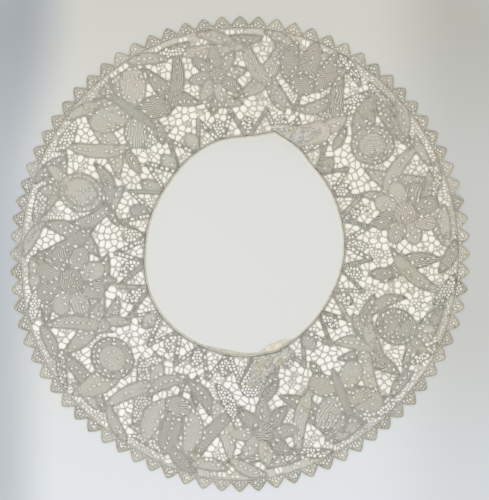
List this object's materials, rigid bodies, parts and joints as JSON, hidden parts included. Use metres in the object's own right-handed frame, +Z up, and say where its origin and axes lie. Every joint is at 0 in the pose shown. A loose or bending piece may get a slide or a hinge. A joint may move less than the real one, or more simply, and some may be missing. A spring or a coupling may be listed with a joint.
{
  "type": "lace collar laid flat",
  "caption": "Round closed lace collar laid flat: floral lace ring with an open ground, pointed edging, corded neck edge and two neck tucks.",
  "frame": {"origin": "on the surface that the collar lies on, below the middle of its outer edge", "axes": "+X right, +Y towards the upper tuck side of the collar, +Z up off the surface"},
  "size_m": [0.4332, 0.4476, 0.0044],
  "materials": {
    "lace_linen": "matte ribbed linen lace",
    "edging_linen": "matte linen edging",
    "cord_linen": "twisted linen cord",
    "tape_cotton": "cream cotton tape"
  },
  "bodies": {
    "root": {"lace_body": "lace_linen", "pointed_edging": "edging_linen", "neck_cord": "cord_linen", "neck_tape": "tape_cotton"}
  },
  "joints": []
}
